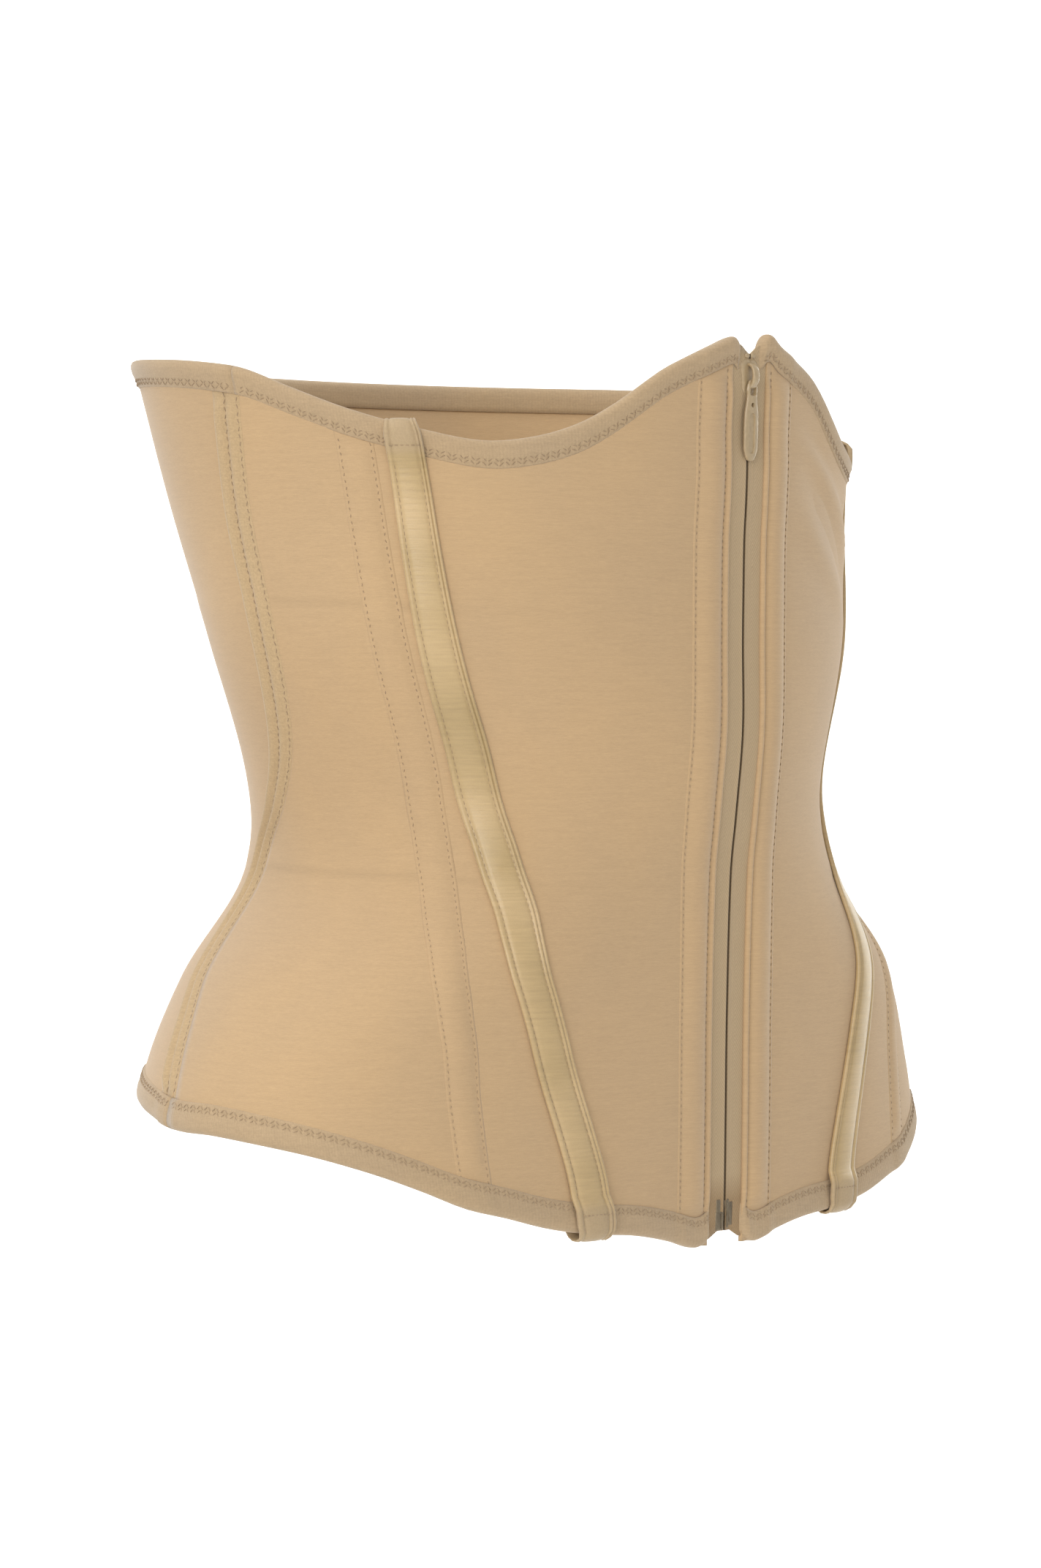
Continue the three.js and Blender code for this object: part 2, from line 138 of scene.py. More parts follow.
SIDE_BACK_SEAM = [(-120, 106), (-92, 107.5), (-76, 108), (-60, 112), (-42, 118), (-20, 121),
                  (0, 115.5), (15, 105.5), (30, 98.5), (48, 94.5), (72, 92.3), (110, 91.2),
                  (140, 89), (172, 86.5)]
FRONT_WAVE = [(-136, 0), (-115, 0.2), (-89, 0.8), (-57, 1.5), (-9, 1.6), (11, 0), (39, -1.8),
              (69, -0.7), (85, -0.3), (105, 0), (117, -0.3), (129, -0.3), (140, 0.2), (150, 0.1),
              (158, 0), (172, 0)]
EDGE_X, PLACKET_X, WELT = 9.5, 24.5, 8.6
FRONT_Y, LEAN = -88.6, 0.0366  # the centre front at the waist, and its slope
ROUND = 130  # mean radius, which turns girth angles into lengths of cloth
HIGH, LOW = 150.0, -115.0  # heights at which the stations of the two edges are read
LAYER = 1.4  # thickness of the doubled knit
SIDES = {"left": 1, "right": -1}


def curve(points):
    """A smooth curve through points, carried on straight beyond both ends."""
    x, y = np.array(points, float).T
    n = len(x)
    before, after = np.maximum(np.arange(n) - 1, 0), np.minimum(np.arange(n) + 1, n - 1)
    slope = (y[after] - y[before]) / (x[after] - x[before])

    def at(value):
        value = np.asarray(value, float)
        i = np.clip(np.searchsorted(x, value, "right") - 1, 0, n - 2)
        w = x[i + 1] - x[i]
        s = np.clip((value - x[i]) / w, 0, 1)
        h = s * s * (3 - 2 * s)
        inside = y[i] * (1 - h) + y[i + 1] * h
        inside += w * s * (1 - s) * ((1 - s) * slope[i] - s * slope[i + 1])
        return (inside + np.minimum(value - x[0], 0) * slope[0]
                + np.maximum(value - x[-1], 0) * slope[-1])

    return at


half_width, half_depth, fullness = (curve([(r[0], r[k]) for r in BODY]) for k in (1, 2, 3))
top_edge, bottom_edge = curve(TOP_EDGE), curve(BOTTOM_EDGE)
satin_seam, channel_seam, side_back_seam = map(curve, (SATIN_SEAM, CHANNEL_SEAM, SIDE_BACK_SEAM))
front_wave = curve(FRONT_WAVE)


def smooth(low, high, x):
    """A soft step from 0 at low to 1 at high."""
    s = np.clip((x - low) / (high - low), 0, 1)
    return s * s * (3 - 2 * s)


def slopes(t, z):
    """How the body's outline runs at a girth angle: across, back, and its length a radian."""
    dx = half_width(z) * np.cos(t)
    dy = np.sin(t) * (half_depth(z) + 2 * fullness(z) * np.cos(t))
    return dx, dy, np.hypot(dx, dy)


def skin(t, z, off):
    """The point `off` outside the body at girth angle t, in radians, and height z; in metres."""
    t, z, off = np.broadcast_arrays(*(np.asarray(v, float) for v in (t, z, off)))
    dx, dy, speed = slopes(t, z)
    x = half_width(z) * np.sin(t) + off * dy / speed
    y = FRONT_Y - LEAN * z + front_wave(z) * np.cos(t / 2) ** 6
    y = y + (1 - np.cos(t)) * (half_depth(z) + fullness(z) * (1 + np.cos(t))) - off * dx / speed
    return np.stack([x, y, z], -1) * 0.001


def across(t, z, mm):
    """The girth angle mm further round from t."""
    return t + mm / slopes(t, z)[2]


def girth(u, z):
    """Girth angle at station u: 0 zip edge, 1 placket line, 2 satin seam, 3 channel seam,
    4 side-back seam, 5 centre back, and on round the back to 6 at the other side-back seam."""
    u, z = np.broadcast_arrays(np.asarray(u, float), np.asarray(z, float))
    m = np.where(u > 5, 10 - u, u)
    marks = [np.arcsin(EDGE_X / half_width(z)), np.arcsin(PLACKET_X / half_width(z)),
             np.radians(satin_seam(z)), np.radians(channel_seam(z)),
             across(np.radians(side_back_seam(z)), z, -WELT / 2), np.full(z.shape, math.pi)]
    k = np.clip(np.floor(m), 0, 4).astype(int)
    low, high = np.choose(k, marks[:5]), np.choose(k, marks[1:])
    t = low + (m - k) * (high - low)
    return np.where(u > 5, 2 * math.pi - t, t)


def from_front(t):
    """Degrees from the centre front, the same on both sides."""
    return 180 - np.abs(180 - np.abs(np.degrees(t)))


def top_of(u):
    return top_edge(from_front(girth(u, HIGH)))


def bottom_of(u):
    return bottom_edge(from_front(girth(u, LOW)))


def band_low(u):
    """Lower edge of the waist band, which rises a little towards the back."""
    return -15.5 + 2.2 * np.where(u > 5, 10 - u, u)


def band_high(u):
    return 76 + 1.7 * np.where(u > 5, 10 - u, u)


# Soft folds in the worn cloth: (angle, height) at both ends, width and height of the fold, mm.
FOLDS = {"left": [((14, 146), (50, 108), 5.5, -1.7), ((15, 128), (46, 88), 7.0, -1.8),
                  ((14, 138), (48, 98), 4.0, 1.0), ((15, 112), (40, 78), 6.0, 1.0),
                  ((60, 30), (100, 22), 6.0, -0.5)],
         "right": [((12, -112), (24, -100), 3.0, -0.4), ((12, -121), (30, -108), 3.0, -0.35),
                   ((22, 131), (50, 120), 5.5, -1.0), ((66, 20), (100, 12), 7.0, -0.5),
                   ((48, 2), (62, -6), 4.0, -0.3)],
         "back": [((112, 16), (178, 20), 6.0, -0.7), ((115, 2), (176, 4), 5.0, 0.5),
                  ((112, -10), (170, -14), 6.0, -0.5), ((96, 150), (140, 139), 7.0, -0.6)]}


def underlay(t, z, u):
    """How far the waist band under the cloth lifts it, with the slight unevenness of wear."""
    raised = 0.25 * smooth(-1.8, 1.8, z - band_low(u)) * (1 - smooth(-1.8, 1.8, z - band_high(u)))
    return (raised * smooth(0.9, 1.6, u)
            + 0.12 * np.sin(0.083 * z + 2.1) * np.sin(6.1 * np.abs(t)))


def relief(where, t, z, u):
    """How far the cloth stands proud of the even layer: the waist band under it, and folds."""
    x = ROUND * np.abs(t)
    raised = underlay(t, z, u)
    clear = smooth(7, 20, top_of(u) - z) * smooth(8, 20, z - bottom_of(u))
    for (a0, z0), (a1, z1), width, height in FOLDS[where]:
        x0, x1 = ROUND * math.radians(a0), ROUND * math.radians(a1)
        along = ((x - x0) * (x1 - x0) + (z - z0) * (z1 - z0)) / ((x1 - x0) ** 2 + (z1 - z0) ** 2)
        beside = ((x - x0) * (z1 - z0) - (z - z0) * (x1 - x0)) / math.hypot(x1 - x0, z1 - z0)
        taper = smooth(-0.12, 0.3, along) * (1 - smooth(0.7, 1.12, along))
        raised = raised + clear * height * taper * np.exp(-(beside / width) ** 2)
    return raised


def marked(*values):
    """Three values at every point of a grid, for one mark."""
    return np.stack(np.broadcast_arrays(*values), -1)


def build(name, points, faces, **marks):
    """A smooth closed mesh, faces outward, with vector attributes named by marks."""
    mesh = bpy.data.meshes.new(name)
    mesh.from_pydata(np.asarray(points).reshape(-1, 3).tolist(), [], [list(f) for f in faces])
    for mark, values in marks.items():
        place = mesh.attributes.new(mark, "FLOAT_VECTOR", "POINT")
        place.data.foreach_set("vector", np.asarray(values, np.float32).ravel())
    work = bmesh.new()
    work.from_mesh(mesh)
    bmesh.ops.recalc_face_normals(work, faces=work.faces)
    work.to_mesh(mesh)
    work.free()
    mesh.polygons.foreach_set("use_smooth", [True] * len(mesh.polygons))
    return put(name, mesh)


def slab(name, outer, inner, **marks):
    """A closed sheet between two grids of points."""
    rows, cols = outer.shape[:2]
    index = np.arange(rows * cols).reshape(rows, cols)
    quads = np.stack([index[:-1, :-1], index[:-1, 1:], index[1:, 1:], index[1:, :-1]], -1)
    quads, n = quads.reshape(-1, 4), rows * cols
    rim = np.concatenate([index[0], index[1:, -1], index[-1, -2::-1], index[-2:0:-1, 0]])
    after = np.roll(rim, -1)
    sides = np.stack([rim, rim + n, after + n, after], -1)
    return build(name, np.concatenate([outer.reshape(-1, 3), inner.reshape(-1, 3)]),
                 np.concatenate([quads, quads[:, ::-1] + n, sides]).tolist(),
                 **{k: np.concatenate([v.reshape(-1, 3)] * 2) for k, v in marks.items()})


def cut_cloth():
    """Defines a helper that measures the length of a grid; the helper is not called and nothing
    else is done.
    """
    def length(a):
        return np.linalg.norm(np.diff(a, axis=0), axis=-1).sum(0).max()


def wing(obj):
    """A piece of one front: its placement is baked into its mesh, and it is left unattached to any
    body.
    """
    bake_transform(obj)


class Value:
    """One socket of a material, with the sums that work on it."""

    def __init__(self, tree, socket):
        self.tree, self.socket = tree, socket

    def math(self, operation, a, b):
        node = self.tree.nodes.new("ShaderNodeMath")
        node.operation = operation
        for socket, v in zip(node.inputs, (a, b)):
            if isinstance(v, Value):
                self.tree.links.new(v.socket, socket)
            else:
                socket.default_value = v
        return Value(self.tree, node.outputs[0])

    def __add__(self, other):
        return self.math("ADD", self, other)

    def __sub__(self, other):
        return self.math("SUBTRACT", self, other)

    def __rsub__(self, other):
        return self.math("SUBTRACT", other, self)

    def __mul__(self, other):
        return self.math("MULTIPLY", self, other)

    def __truediv__(self, other):
        return self.math("DIVIDE", self, other)

    def __abs__(self):
        return self.math("ABSOLUTE", self, 0.0)

    def at_most(self, other):
        return self.math("MINIMUM", self, other)

    def at_least(self, other):
        return self.math("MAXIMUM", self, other)

    def sine(self):
        return self.math("SINE", self, 0.0)

    __radd__, __rmul__ = __add__, __mul__


class Finish:
    """A material made of a Principled shader; even values go straight on its sockets."""

    def __init__(self, name, **even):
        self.material = bpy.data.materials.new(name)
        self.material.use_nodes = True
        self.tree = self.material.node_tree
        self.shader = self.tree.nodes["Principled BSDF"]
        for socket, value in even.items():
            self.shader.inputs[socket.replace("_", " ")].default_value = value

    def node(self, kind, settings=None, inputs=None, out=0):
        node = self.tree.nodes.new("ShaderNode" + kind)
        for key, value in (settings or {}).items():
            setattr(node, key, value)
        for key, value in (inputs or {}).items():
            if isinstance(value, Value):
                self.tree.links.new(value.socket, node.inputs[key])
            else:
                node.inputs[key].default_value = value
        return Value(self.tree, node.outputs[out])

    def paint(self, **sockets):
        for socket, value in sockets.items():
            self.tree.links.new(value.socket, self.shader.inputs[socket.replace("_", " ")])

    def mark(self, name):
        return self.node("Attribute", {"attribute_name": name}, out=1)

    def parts(self, vector):
        return [self.node("SeparateXYZ", {}, {0: vector}, out=k) for k in range(3)]

    def own_place(self):
        return self.node("TexCoord", {}, out=3)

    def noise(self, scale, detail=2.0, rough=0.5, at=None):
        at = at or self.mark("cloth")
        at = self.node("VectorMath", {"operation": "MULTIPLY"}, {0: at, 1: scale})
        return self.node("TexNoise", {"noise_dimensions": "3D"},
                         {"Vector": at, "Scale": 1.0, "Detail": detail, "Roughness": rough})

    def shade(self, colour, by):
        """The colour made lighter or darker by a value around 1."""
        tone = self.node("CombineColor", {}, {0: by, 1: by, 2: by})
        return self.node("Mix", {"data_type": "RGBA", "blend_type": "MULTIPLY",
                                 "clamp_result": False}, {0: 1.0, 6: colour, 7: tone}, out=2)

    def mix(self, by, one, other):
        return self.node("Mix", {"data_type": "RGBA"}, {0: by, 6: one, 7: other}, out=2)

    def bump(self, height, strength, distance):
        return self.node("Bump", {}, {"Height": height, "Strength": strength,
                                      "Distance": distance})


def nude(r, g, b):
    """Linear colour for dye values from 0 to 255."""
    return tuple(((v / 255 + 0.055) / 1.055) ** 2.4 for v in (r, g, b)) + (1,)


def knit(name, colour, warm, band_edge_shade=False, rough=0.85, ribs=0.0, plush=0.0):
    """Matt warp knit: fine courses across, cloudy dye, and the band's edges showing through as
    grooves darkened with painted shade.
    """
    f = Finish(name, Roughness=rough, Sheen_Weight=0.22, Sheen_Roughness=0.5,
               Specular_IOR_Level=0.25)
    courses = f.noise((0.35, 3.2, 0.35), 3.0, 0.65)
    grain = f.noise((2.4, 2.4, 2.4), 2.0, 0.6)
    cloudy = f.noise((0.022, 0.016, 0.022), 2.0, 0.5)
    streaks = f.noise((0.07, 0.9, 0.07), 3.0, 0.65)
    tone = 0.65 + 0.28 * courses + 0.14 * grain + 0.10 * cloudy + 0.18 * streaks
    height = 0.5 * courses + 0.35 * grain + 0.3 * streaks
    if plush:
        pile = f.noise((1.3, 1.3, 1.3), 3.0, 0.7)
        tone = tone + plush * (pile - 0.5)
        height = height + 0.8 * pile
    if ribs:
        wales = (f.parts(f.mark("cloth"))[0] * 5.2).sine()
        height = height + ribs * wales
        tone = tone + 0.02 * wales
    if band_edge_shade:
        # Painted shade: the tone darkens along the band's two edges, where the bump presses in
        # grooves; the third part of the mark sets how strongly.
        parts = f.parts(f.mark("lines"))
        for part in parts[:2]:
            line = (1 - (abs(part) / 2.4).at_most(1.0)) * parts[2]
            tone = tone * (1 - 0.075 * line)
            height = height - 0.5 * line
    f.paint(Base_Color=f.shade(f.mix(cloudy, colour, warm), tone),
            Normal=f.bump(height, 0.30, 0.00016))
    return f.material


BEIGE, BEIGE_WARM = nude(179, 152, 118), nude(182, 152, 113)
body_knit = knit("body_knit", BEIGE, BEIGE_WARM, band_edge_shade=True)
PANELS = {"front_panel": (0, 2), "gore_panel": (2, 3), "side_panel": (3, 4)}


def stations(u0, u1, level, column):
    """Stations from u0 to u1, about a column's width apart at one height."""
    columns = int(np.ceil((girth(u1, level) - girth(u0, level)) * ROUND / column))
    return np.linspace(u0, u1, columns + 1)[None, :]


def knit_panel(name, sign, where, u0, u1):
    """A panel between two stations, from edge to edge; sign is 1 for the wearer's left."""
    u = stations(u0, u1, 60, 2.6)
    v = np.linspace(0, 1, 105)[:, None]
    z = bottom_of(u) + (top_of(u) - bottom_of(u)) * v
    t = sign * girth(u, z)
    outer = skin(t, z, LAYER + relief(where, t, z, u))
    # How strongly the painted shade along the band's edges shows: none by the zip and none at the
    # back.
    clear = smooth(0.9, 3.2, u) * (1 - smooth(3.9, 4.1, u))
    panel = slab(name, outer, skin(t, z, 0.0), cloth=marked(ROUND * t, z, 0.0),
                 lines=marked(z - band_high(u), z - band_low(u), clear))
    panel.data.materials.append(body_knit)
    cut_cloth()
    return panel


panel = knit_panel("back_cloth", 1, "back", 4, 6)
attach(panel, "back")
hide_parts("back_panel")
for side, sign in SIDES.items():
    for part, (u0, u1) in PANELS.items():
        beside = side + ("_gore_cloth" if part == "front_panel" else "_front_cloth")
        name = f"{side}_{part.replace('panel', 'cloth')}"
        panel = knit_panel(name, sign, side, u0, u1)
        wing(panel)
        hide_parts(f"{side}_{part}")


# ---- The waist band ----------------------------------------------------------------------------
# A second layer of knit, sewn inside round the waist for firm support. It is doubled cloth about
# 90 mm high; its two edges press through as faint lines on the outside, of bump and painted shade.

lining_knit = knit("lining_knit", nude(166, 144, 117), nude(169, 145, 113), ribs=0.35)


def waist_band(name, sign, u0, u1):
    u = stations(u0, u1, 30, 4)
    v = np.linspace(0, 1, 27)[:, None]
    z = band_low(u) + (band_high(u) - band_low(u)) * v
    t = sign * girth(u, z)
    roll = 0.5 * (1 - smooth(0, 0.06, np.minimum(v, 1 - v)))
    outer, inner = skin(t, z, -1.75), skin(t, z, -2.45 + 0.45 * roll)
    band = slab(name, outer, inner, cloth=marked(ROUND * t, z, 0.0))
    band.data.materials.append(lining_knit)
    cut_cloth()
    return band


band = waist_band("back_band", 1, 4, 6)
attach(band, "back")
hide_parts("back_waist_band")
for side, sign in SIDES.items():
    band = waist_band(side + "_band", sign, 1, 4)
    wing(band)
    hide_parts(side + "_waist_band")


# ---- The bone channels and plackets ------------------------------------------------------------
# Flat steel bones run in tunnels of the same knit: a channel down each side, a wide placket
# beside the zip, and two channels at the back. Each is a soft dome between two sewn lines.

thread = Finish("thread", Roughness=0.75, Sheen_Weight=0.2, Specular_IOR_Level=0.3)
thread_twist = thread.noise((3.0, 3.0, 3.0), 1.0, 0.5, at=thread.own_place())
thread.paint(Base_Color=thread.mix(thread_twist, nude(137, 114, 88), nude(168, 145, 115)))
casing_knit = knit("casing_knit", BEIGE, BEIGE_WARM)
PRESSED = 1.55  # height of a tunnel's ends under the bindings


def tube_faces(*counts):
    """Quads round tubes of points counted as (tube,) ring, point; and the points' numbers."""
    index = np.arange(math.prod(counts)).reshape(counts)
    after = np.roll(index, -1, axis=-1)
    quads = np.stack([index[..., :-1, :], after[..., :-1, :], after[..., 1:, :],
                      index[..., 1:, :]], -1)
    return quads.reshape(-1, 4).tolist(), index


def tube(name, rings, **marks):
    """A tube through rings of points, with a flat cap at each end."""
    quads, index = tube_faces(*rings.shape[:2])
    return build(name, rings, quads + [index[0][::-1].tolist(), index[-1].tolist()], **marks)


def tunnel(name, sign, seam, low, high, profile, station):
    """A closed strip along a seam line; profile gives (across, off) pairs round its section,
    and both ends are pressed flat where the bindings cross them."""
    z = np.linspace(low, high, int((high - low) / 2.5) + 1)[:, None]
    beside, off = np.array(profile).T[:, None, :]
    t = across(seam(z), z, beside)
    clear = smooth(5.5, 14.0, np.minimum(z - low, high - z))
    off = np.minimum(off, PRESSED) + np.maximum(off - PRESSED, 0) * clear
    rings = skin(sign * t, z, off + underlay(t, z, station))
    strip = tube(name, rings, cloth=marked(ROUND * t * sign, z, 0.0))
    strip.data.materials.append(casing_knit)
    cut_cloth()
    return strip


def sew(name, t, z, off, length=1.7, gap=0.8, radius=0.14, zigzag=0.0):
    """A row of stitches along a line on the body: short threads that dive into the cloth."""
    p = skin(t, z, off)
    out = skin(t, z, off + 1.0) - p
    run = np.concatenate([[0], np.cumsum(np.linalg.norm(np.diff(p, axis=0), axis=1))]) * 1000
    pitch = length + gap
    starts = np.arange(0.3, run[-1] - pitch, pitch)

    def at(s, values):
        return np.stack([np.interp(s, run, values[:, k]) for k in range(3)], -1)

    # Along one stitch: (share of its length, height, thickness).
    shape = [(0.0, -0.25, 0.6), (0.12, 0.05, 1.0), (0.5, 0.14, 1.1), (0.88, 0.05, 1.0),
             (1.0, -0.25, 0.6)]
    sides = 5
    angle = np.arange(sides) * 2 * math.pi / sides
    rings = []
    for share, rise, thick in shape:
        s = starts + share * length
        c, n = at(s, p), at(s, out)
        n /= np.linalg.norm(n, axis=1)[:, None]
        ahead = at(s + 0.5, p) - at(s - 0.5, p)
        ahead /= np.linalg.norm(ahead, axis=1)[:, None]
        b = np.cross(n, ahead)
        swing = zigzag * (share - 0.5) * np.where(np.arange(len(starts)) % 2, 1, -1)
        c = c + n * rise * 0.001 + b * swing[:, None] * 0.001
        rings.append(np.stack([c + (n * math.cos(a) + b * math.sin(a)) * (thick * radius * 0.001)
                               for a in angle], 1))
    faces, index = tube_faces(len(starts), len(shape), sides)
    caps = np.concatenate([index[:, 0, ::-1], index[:, -1]])
    row = build(name, np.stack(rings, 1), faces + caps.tolist())
    row.data.materials.append(thread.material)
    return row


def seam_row(name, sign, seam, low, high, shift, off, station, **how):
    """Stitches that run shift mm beside a seam, on cloth that the waist band lifts."""
    z = np.linspace(low, high, 180)
    t = across(seam(z), z, shift)
    return sew(name, sign * t, z, off + underlay(t, z, station), **how)


def in_radians(seam):
    return lambda z: np.radians(seam(z))


def placket_seam(z):
    return np.arcsin(EDGE_X / half_width(z))


def back_channel_seam(z):
    """The line of the back channels, 17 mm to each side of the centre."""
    return math.pi - 17 / slopes(math.pi, z)[2]


def dome(width, height, flange=1.4):
    """The section of a bone channel: a dome between two sewn lines, with a flange beyond each."""
    w = width / 2
    arch = [(-w - flange, 1.36), (-w - 0.5, 1.56), (-w, 1.50), (-w + 0.7, 1.72)]
    arch += [(-w + 0.7 + (2 * w - 1.4) * k / 8,
              1.72 + height * math.sin(math.pi * k / 8) ** 0.75) for k in range(1, 8)]
    arch += [(w - 0.7, 1.72), (w, 1.50), (w + 0.5, 1.56), (w + flange, 1.36)]
    return arch + [(w + flange, 1.05), (-w - flange, 1.05)]


channel_dome, back_dome = dome(10.2, 0.85), dome(12.0, 0.95)
# Beside the zip the placket starts with a narrow rolled fold, then its sewn line, then the dome.
placket_dome = [(-0.3, 0.9), (-0.35, 1.7), (0.0, 2.35), (0.7, 2.62), (1.4, 2.35), (1.9, 1.6),
                (2.3, 1.4), (2.8, 1.75), (4.2, 2.7), (6.2, 3.25), (8.2, 3.4), (10.4, 3.15),
                (12.4, 2.55), (14.0, 1.8), (14.9, 1.42), (15.4, 1.6), (16.4, 1.36),
                (16.4, 1.05), (0.2, 0.6)]


def edge_low(seam, shift=0.0):
    return float(bottom_edge(from_front(across(seam(LOW), LOW, shift))))


def edge_high(seam, shift=0.0):
    return float(top_edge(from_front(across(seam(HIGH), HIGH, shift))))


TUCKED = 2.5  # how far inside the edges the tunnels end, under the bindings
CHANNEL, SIDE_BACK = in_radians(channel_seam), in_radians(side_back_seam)
for side, sign in SIDES.items():
    for part, seam, profile, shifts, middle, station in (
            ("channel", CHANNEL, channel_dome, (-5.1, 5.1), 0, 3),
            ("centre_back", back_channel_seam, back_dome, (-6.0, 6.0), 0, 5),
            ("placket", placket_seam, placket_dome, (2.35, 15.0), 7.5, 0.5)):
        low, high = edge_low(seam, middle) + TUCKED, edge_high(seam, middle) - TUCKED
        strip = tunnel(f"{side}_{part}_tunnel", sign, seam, low, high, profile, station)
        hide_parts(f"{side}_{part}_casing", f"{side}_{part}_bone")
        rows = [seam_row(f"{side}_{part}_stitches_{k}", sign, seam, low + 3, high - 3, shift, 1.5,
                         station, length=1.1, gap=1.2, zigzag=0.3)
                for k, shift in enumerate(shifts)]
        for piece in [strip] + rows:
            if part == "centre_back":
                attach(piece, "back")
            else:
                wing(piece)


# ---- The side-back welts -----------------------------------------------------------------------
# Where each side panel meets the back, the seam is felled under a band of coarser knit with a
# bone inside. It is sewn along its front edge and its middle, which leaves two soft ridges.

welt_knit = knit("welt_knit", nude(180, 155, 121), nude(174, 149, 112), rough=0.92, plush=0.55)
welt_profile = [(-5.6, 1.36), (-4.7, 1.6), (-4.2, 1.5), (-3.4, 2.0), (-2.4, 2.8), (-1.4, 3.0),
                (-0.5, 2.6), (0.2, 2.0), (0.8, 1.9), (1.5, 2.6), (2.6, 3.4), (3.6, 3.65),
                (4.5, 3.3), (5.2, 2.4), (5.7, 1.7), (5.8, 1.4), (5.8, 1.05), (-5.6, 1.05)]
for side, sign in SIDES.items():
    low, high = edge_low(SIDE_BACK) + TUCKED, edge_high(SIDE_BACK) - TUCKED
    welt = tunnel(side + "_side_back_welt", sign, SIDE_BACK, low, high, welt_profile, 4)
    welt.data.materials[0] = welt_knit
    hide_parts(side + "_side_back_casing", side + "_side_back_bone")
    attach(welt, "back")
    for k, (shift, off) in enumerate(((-4.4, 1.55), (0.5, 1.98))):
        row = seam_row(f"{side}_side_back_stitches_{k}", sign, SIDE_BACK, low + 3, high - 3,
                       shift, off, 4, zigzag=0.7)
        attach(row, "back")


# ---- The edge bindings -------------------------------------------------------------------------
# The top and bottom edges are bound with soft plush elastic, folded over the raw edge and sewn
# with a close cover stitch. It is a little pinker and more open than the panels.

binding_knit = knit("binding_knit", nude(167, 145, 117), nude(172, 147, 113), rough=0.92, ribs=0.3,
                    plush=0.34)


def binding_section(width):
    """(up from the edge, off) pairs of a folded band 0.7 thick, outer face first."""
    outer = [(-width, 1.42), (-width + 0.5, 1.75), (-width + 1.3, 2.0), (-width + 2.1, 1.95),
             (-width + 3.0, 2.2), (-width * 0.42, 2.7), (-1.8, 2.8), (-0.6, 2.55), (0.35, 1.9),
             (0.75, 1.0), (0.8, 0.0), (0.6, -0.9), (0.0, -1.7), (-1.2, -2.2), (-3.5, -2.1),
             (-width + 2.0, -1.4), (-width, -0.75)]
    inner = [(-width, -0.1), (-width + 2.0, -0.7), (-3.5, -1.4), (-1.2, -1.5), (-0.6, -1.0),
             (-0.1, -0.5), (0.1, 0.2), (0.0, 0.9), (-0.5, 1.5), (-1.8, 1.95), (-width * 0.5, 1.75),
             (-width + 1.0, 1.3), (-width, 1.05)]
    return np.array(outer), np.array(inner)


def swell(t, z):
    """How far the bindings are lifted where they cross bones and seams."""
    t = np.abs(np.where(np.abs(t) > math.pi, 2 * math.pi - np.abs(t), t))
    lift = 0
    for seam, shift, half, height in ((CHANNEL, 0, 6.2, 0.55), (placket_seam, 7.5, 8.5, 0.7),
                                      (SIDE_BACK, 0.5, 6.0, 0.7),
                                      (back_channel_seam, 0, 7.0, 0.55)):
        away = np.abs(t - across(seam(z), z, shift)) * slopes(t, z)[2]
        lift = lift + height * (1 - smooth(half - 3, half + 2.5, away))
    return lift


def edge_girth(u, z):
    """Girth of the bindings, which run on past the zip edge towards the chain."""
    near = np.arcsin((EDGE_X + (PLACKET_X - EDGE_X) * np.minimum(u, 0)) / half_width(z))
    return np.where(u < 0, near, girth(np.maximum(u, 0), z))


def corner(u, top, sign):
    """How far the edge rounds off where it ends beside the zip. The left top peak is sharper."""
    x = EDGE_X + (PLACKET_X - EDGE_X) * u
    if not top:
        return 5.0 * (1 - (1 - np.clip((17.5 - x) / 9.1, 0, 1) ** 2) ** 0.75)
    peak = 1.7 * np.exp(-((x - 10.5) / 3.5) ** 2) if sign > 0 else 0
    return 3.8 * (1 - smooth(3.4, 9.5, x)) - peak


